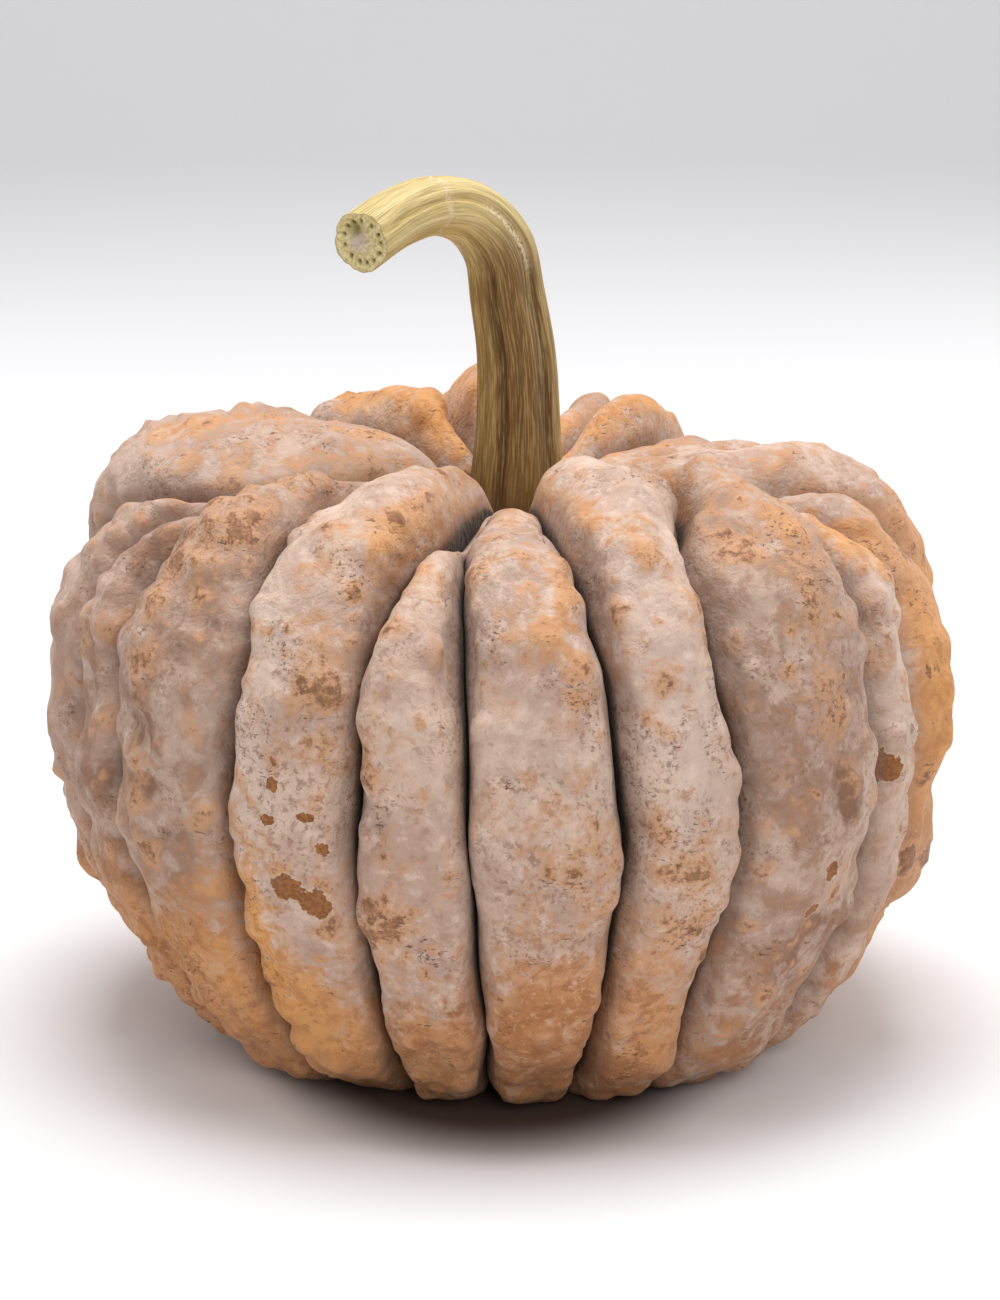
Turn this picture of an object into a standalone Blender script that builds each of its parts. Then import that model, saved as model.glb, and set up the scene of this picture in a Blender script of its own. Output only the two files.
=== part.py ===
"""A deeply ribbed, lumpy pumpkin with a bent stem. Metres, +Z up, the front towards -Y."""

import math
import random
from collections import namedtuple

import bmesh
import bpy
import numpy as np

# The fruit, over the tops of its ribs. Its width is twice RADIUS.
RADIUS = 0.095
HEIGHT = 0.129
WAIST_Z = 0.070
RIM_RADIUS = 0.042
FOOT_RADIUS = 0.050
SHOULDER_POWER = 2.5
BELLY_POWER = 1.7

# The pit round the stem, and the dimple at the blossom end.
PIT_RADIUS = 0.0125
PIT_Z = 0.106
PIT_POWER = 2.5
PIT_SHIFT_X = 0.003
DIMPLE_RADIUS = 0.009
DIMPLE_Z = 0.007
FOOT_BELOW_GROUND = 0.0016

# A station is a place along a rib's back, from 0 at the pit's floor to 1 at the dimple.
RIM, BROW, SHOULDER, WAIST, BASE, FOOT = 0.14, 0.25, 0.37, 0.50, 0.76, 0.87
STATIONS = (RIM, BROW, SHOULDER, WAIST, BASE)

# How far the clefts go in below the backs of the ribs.
CLEFT_STATIONS = (0.0, 0.05, RIM, BROW, SHOULDER, WAIST, BASE, FOOT, 1.0)
CLEFT_DEPTHS = (0.0006, 0.009, 0.017, 0.017, 0.0155, 0.013, 0.009, 0.006, 0.0005)

# How far a rib's back can sink, as a share of its clefts' depth, and how tall it can stand out
# of them, as a share of its width.
LOWEST_LIFT = -0.97
TALLEST_RIB = 1.2

# A rib's back is an arch across: round near the pit and flatter down the sides, with a narrow
# gap at each cleft.
ARCH_STATIONS = (0.0, RIM, SHOULDER, 1.0)
ARCH_POWERS = (2.0, 2.1, 2.8, 2.8)
CLEFT_GAP = 0.025

# Each rib, going round from the front towards +X: the azimuth in degrees of the cleft before it,
# and how far its back stands off the fruit's mean outline, both at the five stations.
Rib = namedtuple("Rib", "cleft lift")
RIBS = (
    Rib((-9, -6, -5, -4, -2), (-0.011, -0.0045, -0.001, 0.0, 0.0)),
    Rib((11, 12, 14, 16, 15), (0.0, 0.0005, 0.0005, 0.0, 0.001)),
    Rib((45, 32, 30, 32, 30), (0.0, 0.0005, 0.001, 0.0, 0.002)),
    Rib((60, 58, 56, 56, 57), (-0.009, -0.006, -0.001, 0.0, 0.002)),
    Rib((62, 65, 67, 66, 69), (-0.009, -0.004, 0.0, 0.001, 0.001)),
    Rib((64, 76, 84, 86, 87), (-0.003, 0.001, 0.0015, -0.0003, 0.001)),
    Rib((98, 106, 108, 108, 108), (-0.006, -0.006, -0.0025, 0.0, 0.0)),
    Rib((120, 123, 124, 124, 124), (-0.0085, -0.0095, -0.004, 0.0, 0.0)),
    Rib((142, 144, 145, 145, 144), (0.0045, 0.003, 0.0, 0.0, 0.0)),
    Rib((157, 156, 156, 156, 157), (0.002, 0.001, -0.001, 0.0, 0.0)),
    Rib((169, 168, 168, 168, 168), (0.006, 0.0035, 0.0, 0.0, 0.0)),
    Rib((198, 197, 195, 194, 194), (0.0025, 0.0, -0.002, 0.0, 0.0)),
    Rib((224, 221, 216, 214, 214), (-0.009, -0.005, -0.001, 0.0, 0.0)),
    Rib((226, 228, 229, 229, 229), (0.0, 0.0040, 0.0055, 0.0, -0.0005)),
    Rib((300, 285, 262, 250, 248), (-0.015, -0.010, -0.003, -0.0003, -0.001)),
    Rib((303, 289, 274, 265, 264), (-0.012, -0.002, 0.0, -0.0003, -0.001)),
    Rib((306, 297, 292, 291, 287), (-0.010, -0.002, -0.001, -0.001, -0.001)),
    Rib((309, 304, 302, 303, 303), (-0.002, 0.0005, 0.0, 0.0, 0.0)),
    Rib((322, 323, 325, 324, 324), (-0.001, 0.0, 0.0005, 0.0, 0.0)),
    Rib((349, 347, 343, 342, 342), (-0.016, -0.0055, -0.0005, -0.001, 0.0)),
)

# The lumps along each rib and the waviness of each cleft, drawn with a fixed seed.
LUMP_SEED = 11
LUMP_HEIGHT = 0.0009
LUMP_CYCLES = (5, 7, 9)
CLEFT_SWAY = 0.6
CLEFT_CYCLES = (4, 6, 8)

# How finely the fruit is divided: rows along a rib, and the angles of the points across it.
FRUIT_ROWS = 36
ACROSS_ANGLES = (-80, -56, -28, 0, 28, 56, 80)

# The stem's middle line, from its foot up over the bend to the cut end, and its radii there.
STEM_GAP = 0.0003
STEM_LINE = (
    (0.0030, 0.0000, PIT_Z + STEM_GAP),
    (0.0034, 0.0000, 0.1160),
    (0.0038, 0.0000, 0.1300),
    (0.0034, 0.0000, 0.1440),
    (0.0015, -0.0005, 0.1570),
    (-0.0004, -0.0022, 0.1675),
    (-0.0058, -0.0060, 0.1748),
    (-0.0128, -0.0118, 0.1772),
    (-0.0202, -0.0188, 0.1756),
    (-0.0275, -0.0260, 0.1715),
)
STEM_RADII = (0.0104, 0.0096, 0.0085, 0.0080, 0.0076, 0.0072, 0.0065, 0.0060, 0.0060, 0.0062)
STEM_RIDGES = 5
STEM_RIDGE_HEIGHTS = (0.04, 0.06, 0.09, 0.09, 0.09, 0.09, 0.08, 0.07, 0.05, 0.04)
STEM_ROUND_POINTS = 40
STEM_STEPS_A_SPAN = 4
CUT_NORMAL = (-0.52, -0.83, -0.20)
CUT_RIM_WIDTH = 0.0012
CUT_HOLLOW_DEPTH = 0.0010


def clear_scene():
    """Removes every object that the file starts with."""
    for item in list(bpy.data.objects):
        bpy.data.objects.remove(item, do_unlink=True)


def smooth_curve(at, places, values):
    """A smooth curve through values at places, read at at, and level beyond its ends."""
    places = np.asarray(places, float)
    values = np.asarray(values, float)
    at = np.clip(at, places[0], places[-1])
    slopes = np.gradient(values, places)
    slopes[0] = slopes[-1] = 0.0
    span = np.clip(np.searchsorted(places, at, side="right") - 1, 0, len(places) - 2)
    width = places[span + 1] - places[span]
    t = (at - places[span]) / width
    start = (1 + 2 * t) * (1 - t) ** 2 * values[span] + t * (1 - t) ** 2 * width * slopes[span]
    end = t**2 * (3 - 2 * t) * values[span + 1] + t**2 * (t - 1) * width * slopes[span + 1]
    return start + end


def quarter(turn, power):
    """Along and up a quarter of a superellipse, with turn from 0 to 1."""
    angle = np.clip(turn, 0, 1) * math.pi / 2
    return np.abs(np.cos(angle)) ** (2 / power), np.abs(np.sin(angle)) ** (2 / power)


def mean_outline(v):
    """Radius and height of the fruit's mean outline at each station in v."""
    v = np.asarray(v, float)
    along, up = quarter(v / RIM, PIT_POWER)
    pit_r = RIM_RADIUS - (RIM_RADIUS - PIT_RADIUS) * along
    pit_z = PIT_Z + (HEIGHT - PIT_Z) * up
    up, along = quarter((v - RIM) / (WAIST - RIM), SHOULDER_POWER)
    top_r = RIM_RADIUS + (RADIUS - RIM_RADIUS) * along
    top_z = WAIST_Z + (HEIGHT - WAIST_Z) * up
    along, up = quarter((v - WAIST) / (FOOT - WAIST), BELLY_POWER)
    low_r = FOOT_RADIUS + (RADIUS - FOOT_RADIUS) * along
    low_z = WAIST_Z - (WAIST_Z + FOOT_BELOW_GROUND) * up
    t = np.clip((v - FOOT) / (1 - FOOT), 0, 1)
    end_r = FOOT_RADIUS + (DIMPLE_RADIUS - FOOT_RADIUS) * t
    end_z = -FOOT_BELOW_GROUND + (DIMPLE_Z + FOOT_BELOW_GROUND) * t * t * (3 - 2 * t)
    choice = [v < RIM, v < WAIST, v < FOOT]
    radius = np.select(choice, [pit_r, top_r, low_r], end_r)
    height = np.select(choice, [pit_z, top_z, low_z], end_z)
    return radius, height


def outward(v, step=0.012):
    """The direction out of the mean outline at v, as its radial and upward parts."""
    low, high = np.clip(v - step, 0, 1), np.clip(v + step, 0, 1)
    r0, z0 = mean_outline(low)
    r1, z1 = mean_outline(high)
    length = np.hypot(r1 - r0, z1 - z0)
    return (z0 - z1) / length, (r1 - r0) / length


def waves(rng, cycles):
    """A wavy function of the station, between about -1 and 1, with drawn phases and weights."""
    parts = [(n, rng.uniform(0, 2 * math.pi), rng.uniform(0.4, 1.0)) for n in cycles]
    total = sum(weight for _, _, weight in parts)

    def wave(v):
        return sum(w * np.sin(2 * math.pi * n * v + phase) for n, phase, w in parts) / total

    return wave


def rib_curves():
    """For each rib: functions of the station for the cleft before it and for its back's lift."""
    rng = random.Random(LUMP_SEED)
    curves = []
    for rib in RIBS:
        sway, lump = waves(rng, CLEFT_CYCLES), waves(rng, LUMP_CYCLES)

        def cleft(v, rib=rib, sway=sway):
            calm = np.clip((v - RIM) / (SHOULDER - RIM), 0, 1)
            return smooth_curve(v, STATIONS, rib.cleft) + CLEFT_SWAY * sway(v) * calm

        def lift(v, rib=rib, lump=lump):
            calm = np.clip(np.minimum(v / (0.6 * RIM), (1 - v) / (1 - BASE)), 0, 1)
            return (smooth_curve(v, STATIONS, rib.lift) + LUMP_HEIGHT * lump(v)) * calm

        curves.append((cleft, lift))
    return curves


def rib_back(v, turn, lift):
    """How far a rib's back stands off the mean outline, where the rib is turn degrees wide."""
    depth = smooth_curve(v, CLEFT_STATIONS, CLEFT_DEPTHS)
    width = np.radians(turn) * mean_outline(v)[0]
    return np.maximum(np.minimum(lift, TALLEST_RIB * width - depth), LOWEST_LIFT * depth)


def fruit_point(v, azimuth, height_in_cleft, lift):
    """Places in the frame at stations v: height_in_cleft goes from 0 in a cleft to 1 on a back."""
    radius, z = mean_outline(v)
    out_r, out_z = outward(v)
    depth = smooth_curve(v, CLEFT_STATIONS, CLEFT_DEPTHS)
    shift = (depth + lift) * height_in_cleft - depth
    radius = radius + out_r * shift
    z = np.maximum(z + out_z * shift, 0.0)
    turn = np.radians(azimuth)
    pit_shift = PIT_SHIFT_X * np.clip(1 - v / BROW, 0, 1)
    return np.stack([radius * np.sin(turn) + pit_shift, -radius * np.cos(turn), z], axis=-1)


def fruit_grid():
    """The fruit's points as rows x columns x 3, the columns going once round."""
    v = np.linspace(0, 1, FRUIT_ROWS)
    curves = rib_curves()
    angles = np.radians(ACROSS_ANGLES)[:, None]
    power = smooth_curve(v, ARCH_STATIONS, ARCH_POWERS)
    across = np.sign(angles) * np.abs(np.sin(angles)) ** (2 / power) * (1 - CLEFT_GAP)
    arch = np.cos(angles) ** (2 / power)
    columns = []
    for number, (cleft, lift) in enumerate(curves):
        start = cleft(v)
        end = curves[(number + 1) % len(curves)][0](v)
        end = end + 360 * (end < start)
        back = rib_back(v, end - start, lift(v))
        columns.append(fruit_point(v, start, 0.0, 0.0 * v))
        for place, high in zip(across, arch):
            azimuth = start + (end - start) * (place + 1) / 2
            columns.append(fruit_point(v, azimuth, high, back))
    return np.stack(columns, axis=1)


def close_grid(name, grid, first_middle, last_middle):
    """A closed mesh object from a grid that goes once round, with a fan at each end."""
    rows, columns = grid.shape[:2]
    points = [tuple(p) for p in grid.reshape(-1, 3)] + [first_middle, last_middle]
    first, last = rows * columns, rows * columns + 1
    faces = []
    for i in range(rows - 1):
        for j in range(columns):
            k = (j + 1) % columns
            a, b = i * columns + j, i * columns + k
            faces.append((a, a + columns, b + columns, b))
    for j in range(columns):
        k = (j + 1) % columns
        faces.append((first, j, k))
        bottom = (rows - 1) * columns
        faces.append((last, bottom + k, bottom + j))
    mesh = bpy.data.meshes.new(name)
    mesh.from_pydata(points, [], faces)
    work = bmesh.new()
    work.from_mesh(mesh)
    bmesh.ops.triangulate(work, faces=work.faces[:])
    bmesh.ops.recalc_face_normals(work, faces=work.faces[:])
    work.to_mesh(mesh)
    work.free()
    mesh.shade_smooth()
    item = bpy.data.objects.new(name, mesh)
    bpy.context.scene.collection.objects.link(item)
    return item


def skin(name, colour, roughness):
    """A plain Principled material."""
    material = bpy.data.materials.new(name)
    material.use_nodes = True
    shader = material.node_tree.nodes["Principled BSDF"]
    shader.inputs["Base Color"].default_value = (*colour, 1.0)
    shader.inputs["Roughness"].default_value = roughness
    shader.inputs["Metallic"].default_value = 0.0
    return material


def make_fruit():
    """The ribbed fruit, as one closed body."""
    grid = fruit_grid()
    pit_floor = (PIT_SHIFT_X, 0.0, PIT_Z)
    fruit = close_grid("fruit", grid, pit_floor, (0.0, 0.0, DIMPLE_Z))
    fruit.data.materials.append(skin("fruit_skin", (0.56, 0.40, 0.30), 0.75))
    return fruit


def stem_path():
    """The stem's middle line, radii and ridge heights, smoothed between the given points."""
    places = np.arange(len(STEM_LINE))
    at = np.linspace(0, places[-1], places[-1] * STEM_STEPS_A_SPAN + 1)
    line = np.asarray(STEM_LINE)
    slopes = np.gradient(line, axis=0)
    span = np.minimum(at.astype(int), places[-1] - 1)
    t = (at - span)[:, None]
    path = (
        (1 + 2 * t) * (1 - t) ** 2 * line[span]
        + t * (1 - t) ** 2 * slopes[span]
        + t**2 * (3 - 2 * t) * line[span + 1]
        + t**2 * (t - 1) * slopes[span + 1]
    )
    return path, np.interp(at, places, STEM_RADII), np.interp(at, places, STEM_RIDGE_HEIGHTS)


def carried_sides(path):
    """Two sideways directions at each point of a path, carried along it without twisting."""
    ahead = np.gradient(path, axis=0)
    ahead /= np.linalg.norm(ahead, axis=1)[:, None]
    ahead[0] = (0.0, 0.0, 1.0)
    side = np.array([1.0, 0.0, 0.0])
    sides = []
    for direction in ahead:
        side = side - direction * side.dot(direction)
        side /= np.linalg.norm(side)
        sides.append((side.copy(), np.cross(direction, side)))
    return ahead, sides


def stem_grid():
    """The stem's points as rings, the last ones lying in the plane of the oblique cut."""
    path, radii, heights = stem_path()
    ahead, sides = carried_sides(path)
    turn = np.linspace(0, 2 * math.pi, STEM_ROUND_POINTS, endpoint=False)
    ridge = np.abs(np.cos(turn * STEM_RIDGES / 2)) * 2 - 1
    rings = []
    for centre, radius, high, (across, other) in zip(path, radii, heights, sides):
        reach = (radius * (1 + high * ridge))[:, None]
        around = np.cos(turn)[:, None] * across + np.sin(turn)[:, None] * other
        rings.append(centre + reach * around)
    rings[-1] = on_cut(rings[-1], ahead[-1], path[-1])
    # The ring before the cut is eased the same way, so that the cut doesn't cross it.
    rings[-2] = (rings[-1] + rings[-3]) / 2
    rim = rings[-1]
    inward = (path[-1] - rim) / np.linalg.norm(path[-1] - rim, axis=1)[:, None]
    hollow = rim + inward * CUT_RIM_WIDTH
    normal = np.asarray(CUT_NORMAL) / np.linalg.norm(CUT_NORMAL)
    rings.append(hollow)
    rings.append(hollow + inward * CUT_RIM_WIDTH - normal * CUT_HOLLOW_DEPTH)
    return np.stack(rings), path[-1] - normal * CUT_HOLLOW_DEPTH


def on_cut(ring, ahead, centre):
    """The ring slid along the stem's direction into the plane of the cut."""
    normal = np.asarray(CUT_NORMAL)
    slide = (centre - ring) @ normal / (ahead @ normal)
    return ring + slide[:, None] * ahead


def make_stem():
    """The bent, ridged stem, as one closed body."""
    grid, cut_middle = stem_grid()
    stem = close_grid("stem", grid, STEM_LINE[0], tuple(cut_middle))
    stem.data.materials.append(skin("stem_bark", (0.42, 0.31, 0.13), 0.6))
    return stem


clear_scene()
make_fruit()
make_stem()
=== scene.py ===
"""The looks of a ribbed pumpkin: its lumpy skin under a dusty bloom, and its bent, ridged stem."""

import math
import random
from collections import namedtuple

import bpy
import numpy as np
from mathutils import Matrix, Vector, noise


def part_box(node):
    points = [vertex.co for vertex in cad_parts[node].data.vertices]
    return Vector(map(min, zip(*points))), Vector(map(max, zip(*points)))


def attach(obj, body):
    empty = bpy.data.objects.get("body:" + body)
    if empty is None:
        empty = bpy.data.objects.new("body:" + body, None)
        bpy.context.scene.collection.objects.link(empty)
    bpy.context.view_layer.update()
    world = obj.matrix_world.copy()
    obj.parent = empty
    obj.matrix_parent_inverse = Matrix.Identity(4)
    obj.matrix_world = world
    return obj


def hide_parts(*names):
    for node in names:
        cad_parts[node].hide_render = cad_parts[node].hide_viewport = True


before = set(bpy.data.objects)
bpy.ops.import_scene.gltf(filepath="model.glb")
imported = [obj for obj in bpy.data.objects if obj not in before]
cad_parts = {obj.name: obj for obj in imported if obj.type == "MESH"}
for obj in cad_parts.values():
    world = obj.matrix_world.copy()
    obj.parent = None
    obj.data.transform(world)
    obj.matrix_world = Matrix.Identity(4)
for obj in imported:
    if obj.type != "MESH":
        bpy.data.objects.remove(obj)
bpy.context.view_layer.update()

# The fruit, over the tops of its ribs. Its width is twice RADIUS.
RADIUS = 0.095
HEIGHT = 0.129
WAIST_Z = 0.070
RIM_RADIUS = 0.042
FOOT_RADIUS = 0.050
SHOULDER_POWER = 2.5
BELLY_POWER = 1.7

# The pit round the stem, and the dimple at the blossom end.
PIT_RADIUS = 0.0125
PIT_Z = 0.106
PIT_POWER = 2.5
PIT_SHIFT_X = 0.003
DIMPLE_RADIUS = 0.009
DIMPLE_Z = 0.007
FOOT_BELOW_GROUND = 0.0016

# A station is a place along a rib's back, from 0 at the pit's floor to 1 at the dimple.
RIM, BROW, SHOULDER, WAIST, BASE, FOOT = 0.14, 0.25, 0.37, 0.50, 0.76, 0.87
STATIONS = (RIM, BROW, SHOULDER, WAIST, BASE)
CLEFT_STATIONS = (0.0, 0.05, RIM, BROW, SHOULDER, WAIST, BASE, FOOT, 1.0)
CLEFT_DEPTHS = (0.0006, 0.009, 0.017, 0.017, 0.0155, 0.013, 0.009, 0.006, 0.0005)
LOWEST_LIFT = -0.97
TALLEST_RIB = 1.2
# A rib's back is an arch across: round near the pit and flatter down the sides, with a narrow
# gap at each cleft.
ARCH_STATIONS = (0.0, RIM, SHOULDER, 1.0)
ARCH_POWERS = (2.0, 2.1, 2.8, 2.8)
CLEFT_GAP = 0.025

# Each rib, going round from the front towards +X: the azimuth in degrees of the cleft before it,
# and how far its back stands off the fruit's mean outline, both at the five stations.
Rib = namedtuple("Rib", "cleft lift")
RIBS = (
    Rib((-9, -6, -5, -4, -2), (-0.011, -0.0045, -0.001, 0.0, 0.0)),
    Rib((11, 12, 14, 16, 15), (0.0, 0.0005, 0.0005, 0.0, 0.001)),
    Rib((45, 32, 30, 32, 30), (0.0, 0.0005, 0.001, 0.0, 0.002)),
    Rib((60, 58, 56, 56, 57), (-0.009, -0.006, -0.001, 0.0, 0.002)),
    Rib((62, 65, 67, 66, 69), (-0.009, -0.004, 0.0, 0.001, 0.001)),
    Rib((64, 76, 84, 86, 87), (-0.003, 0.001, 0.0015, -0.0003, 0.001)),
    Rib((98, 106, 108, 108, 108), (-0.006, -0.006, -0.0025, 0.0, 0.0)),
    Rib((120, 123, 124, 124, 124), (-0.0085, -0.0095, -0.004, 0.0, 0.0)),
    Rib((142, 144, 145, 145, 144), (0.0045, 0.003, 0.0, 0.0, 0.0)),
    Rib((157, 156, 156, 156, 157), (0.002, 0.001, -0.001, 0.0, 0.0)),
    Rib((169, 168, 168, 168, 168), (0.006, 0.0035, 0.0, 0.0, 0.0)),
    Rib((198, 197, 195, 194, 194), (0.0025, 0.0, -0.002, 0.0, 0.0)),
    Rib((224, 221, 216, 214, 214), (-0.009, -0.005, -0.001, 0.0, 0.0)),
    Rib((226, 228, 229, 229, 229), (0.0, 0.0040, 0.0055, 0.0, -0.0005)),
    Rib((300, 285, 262, 250, 248), (-0.015, -0.010, -0.003, -0.0003, -0.001)),
    Rib((303, 289, 274, 265, 264), (-0.012, -0.002, 0.0, -0.0003, -0.001)),
    Rib((306, 297, 292, 291, 287), (-0.010, -0.002, -0.001, -0.001, -0.001)),
    Rib((309, 304, 302, 303, 303), (-0.002, 0.0005, 0.0, 0.0, 0.0)),
    Rib((322, 323, 325, 324, 324), (-0.001, 0.0, 0.0005, 0.0, 0.0)),
    Rib((349, 347, 343, 342, 342), (-0.016, -0.0055, -0.0005, -0.001, 0.0)),
)

# The lumps along each rib and the waviness of each cleft, drawn with a fixed seed.
LUMP_SEED = 11
LUMP_HEIGHT = 0.0009
LUMP_CYCLES = (5, 7, 9)
CLEFT_SWAY = 0.6
CLEFT_CYCLES = (4, 6, 8)

# The visible fruit's mesh: rows along a rib, and points across it from cleft to cleft.
FRUIT_ROWS = 250
RIB_COLUMNS = 36
TYPICAL_HALF_WIDTH = 0.014
TYPICAL_DEPTH = 0.013
# How far the mesh keeps inside the faces of the node's box that it would stand proud of.
BOX_MARGIN = 0.0015

# The knobs strewn on the ribs: large soft ones side by side, and small ones between them.
# Each kind has a seed, a spacing, ranges of radius and height, and the share that is rubbed bare.
Knobs = namedtuple("Knobs", "seed spacing radius height bare")
LARGE_KNOBS = Knobs(3, 0.0090, (0.0042, 0.0068), (0.0004, 0.0021), 0.35)
SMALL_KNOBS = Knobs(7, 0.0058, (0.0014, 0.0026), (0.0001, 0.0007), 0.45)
# They lie in rows between these stations of a back that is about this long, and each is moved at
# random, in stations along the rib and in shares of a space across it.
KNOB_STATIONS = (0.10, BASE + 0.06)
BACK_LENGTH = 0.26
KNOB_JITTER_ALONG = 0.012
KNOB_JITTER_ACROSS = 0.4
# How high they stand, by azimuth in degrees, and the rib widths between which they fade in.
KNOBBLY = (
    (-180, 0.9), (-70, 1.0), (-50, 1.1), (-36, 0.85), (-20, 0.75),
    (30, 0.75), (50, 0.85), (62, 0.9), (180, 0.9),
)
NARROW_RIB = (0.005, 0.016)
# How high the singly placed knobs stand, and the size and height of swells and puckers.
SINGLE_KNOB_HEIGHT = 0.0013
SWELL_SIZE = 0.017
SWELL_HEIGHT = 0.0020
PUCKER_SIZE = 0.0042
PUCKER_HEIGHT = 0.0003
RELIEF_BASE = -0.0005
# The relief grows from a cleft to a rib's back between these arch heights, and runs between
# these stations.
RELIEF_ARCH = (0.15, 0.6)
RELIEF_START = (0.03, 0.10)
RELIEF_END = (0.84, 0.90)

# A place on the skin: azimuth in degrees, height in metres, half sizes in metres, and strength.
Patch = namedtuple("Patch", "azimuth z wide high amount")
# Knobs that stand singly, each partly rubbed bare.
SINGLE_KNOBS = (
    Patch(-15.0, 0.0480, 0.0045, 0.0042, 1.0),
    Patch(-16.0, 0.0784, 0.0030, 0.0030, 0.6),
    Patch(0.3, 0.1220, 0.0026, 0.0026, 0.7),
    Patch(3.7, 0.1170, 0.0026, 0.0026, 0.6),
    Patch(9.3, 0.1116, 0.0036, 0.0036, 0.9),
    Patch(6.3, 0.1040, 0.0030, 0.0030, 0.6),
    Patch(9.9, 0.0935, 0.0032, 0.0032, 0.8),
    Patch(9.4, 0.0790, 0.0030, 0.0028, 0.8),
    Patch(9.5, 0.0600, 0.0042, 0.0036, 0.9),
    Patch(14.6, 0.1237, 0.0030, 0.0030, 0.8),
    Patch(20.7, 0.1196, 0.0034, 0.0030, 0.8),
    Patch(14.9, 0.0978, 0.0028, 0.0028, 0.6),
    Patch(20.6, 0.0970, 0.0032, 0.0030, 0.9),
    Patch(21.3, 0.0855, 0.0030, 0.0030, 0.7),
    Patch(21.3, 0.0475, 0.0040, 0.0040, 0.9),
    Patch(55.3, 0.0912, 0.0040, 0.0040, 0.8),
    Patch(-46.0, 0.1170, 0.0044, 0.0040, 1.0),
    Patch(-49.5, 0.1054, 0.0040, 0.0038, 1.0),
    Patch(-48.8, 0.0936, 0.0042, 0.0040, 1.0),
    Patch(-48.0, 0.0747, 0.0038, 0.0034, 0.9),
    Patch(-48.2, 0.0660, 0.0038, 0.0034, 0.9),
    Patch(-47.4, 0.0560, 0.0040, 0.0036, 0.9),
    Patch(-40.0, 0.0840, 0.0036, 0.0036, 0.7),
    Patch(-38.5, 0.0650, 0.0036, 0.0036, 0.7),
    Patch(-57.6, 0.0976, 0.0036, 0.0036, 0.9),
    Patch(-56.5, 0.0790, 0.0036, 0.0036, 0.8),
    Patch(-55.4, 0.0592, 0.0036, 0.0036, 0.8),
    Patch(-68.0, 0.0880, 0.0040, 0.0040, 0.7),
    Patch(-69.0, 0.0700, 0.0040, 0.0040, 0.7),
    Patch(71.0, 0.0912, 0.0050, 0.0050, 0.9),
    Patch(72.0, 0.0800, 0.0050, 0.0045, 0.9),
    Patch(72.0, 0.0690, 0.0050, 0.0045, 0.9),
)
# Where the bloom is rubbed off.
BARE_PATCHES = (
    Patch(-15, 0.048, 0.007, 0.006, 1.0),
    Patch(9, 0.060, 0.010, 0.009, 0.6),
    Patch(21, 0.046, 0.010, 0.009, 0.6),
    Patch(48, 0.121, 0.010, 0.008, 0.55),
    Patch(-48, 0.117, 0.012, 0.010, 0.7),
    Patch(-16, 0.119, 0.006, 0.007, 0.7),
    Patch(-22.5, 0.098, 0.0065, 0.011, 0.62),
    Patch(-20.5, 0.083, 0.0060, 0.006, 0.6),
    Patch(43, 0.105, 0.0055, 0.006, 0.7),
    Patch(43.5, 0.085, 0.0055, 0.007, 0.6),
    Patch(37, 0.117, 0.0050, 0.003, 0.7),
    Patch(63.5, 0.1125, 0.0080, 0.005, 0.8),
    Patch(-153, 0.128, 0.012, 0.010, 0.8),
    Patch(-173, 0.128, 0.012, 0.010, 0.8),
    Patch(146, 0.127, 0.016, 0.012, 0.6),
    Patch(-97, 0.128, 0.008, 0.003, 0.5),
    Patch(-76, 0.124, 0.010, 0.003, 0.4),
    Patch(6, 0.108, 0.010, 0.012, 0.35),
    Patch(-33, 0.050, 0.007, 0.016, 0.7),
    Patch(-31, 0.028, 0.010, 0.014, 0.7),
)
# Brown scabs with torn edges.
CRISP_PATCHES = (
    Patch(-25.8, 0.0545, 0.0038, 0.0030, 1.0),
    Patch(-22.6, 0.0515, 0.0030, 0.0034, 1.0),
    Patch(-27.7, 0.0684, 0.0018, 0.0014, 1.0),
    Patch(-27.2, 0.0755, 0.0013, 0.0016, 1.0),
    Patch(-23.1, 0.0696, 0.0017, 0.0012, 1.0),
    Patch(-21.2, 0.0634, 0.0012, 0.0016, 1.0),
    Patch(45.2, 0.0525, 0.0020, 0.0022, 1.0),
    Patch(43.2, 0.0443, 0.0026, 0.0016, 1.0),
    Patch(56.2, 0.0695, 0.0030, 0.0040, 1.0),
)
# Where bare or thin skin is amber.
YELLOW_PATCHES = (
    Patch(48, 0.121, 0.008, 0.007, 0.5),
    Patch(-33, 0.044, 0.009, 0.020, 1.0),
    Patch(-30, 0.026, 0.012, 0.014, 0.6),
    Patch(-48, 0.034, 0.014, 0.012, 0.2),
    Patch(63.5, 0.1125, 0.008, 0.006, 0.9),
    Patch(76, 0.078, 0.016, 0.022, 1.0),
    Patch(92, 0.075, 0.024, 0.030, 0.8),
    Patch(146, 0.127, 0.016, 0.014, 0.8),
    Patch(-153, 0.128, 0.012, 0.012, 0.9),
    Patch(-173, 0.128, 0.012, 0.012, 0.8),
    Patch(-97, 0.128, 0.008, 0.003, 0.5),
    Patch(-76, 0.124, 0.010, 0.003, 0.5),
    Patch(-15.5, 0.1185, 0.005, 0.005, 0.9),
    Patch(17, 0.1225, 0.006, 0.005, 0.6),
    Patch(8, 0.108, 0.006, 0.008, 0.5),
)
# Where the bloom is thick and pale.
PALE_PATCHES = (
    Patch(21, 0.085, 0.012, 0.030, 0.55),
    Patch(-32, 0.085, 0.006, 0.030, 0.5),
    Patch(61, 0.090, 0.008, 0.024, 0.6),
    Patch(-85, 0.080, 0.012, 0.030, 0.4),
)
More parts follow.
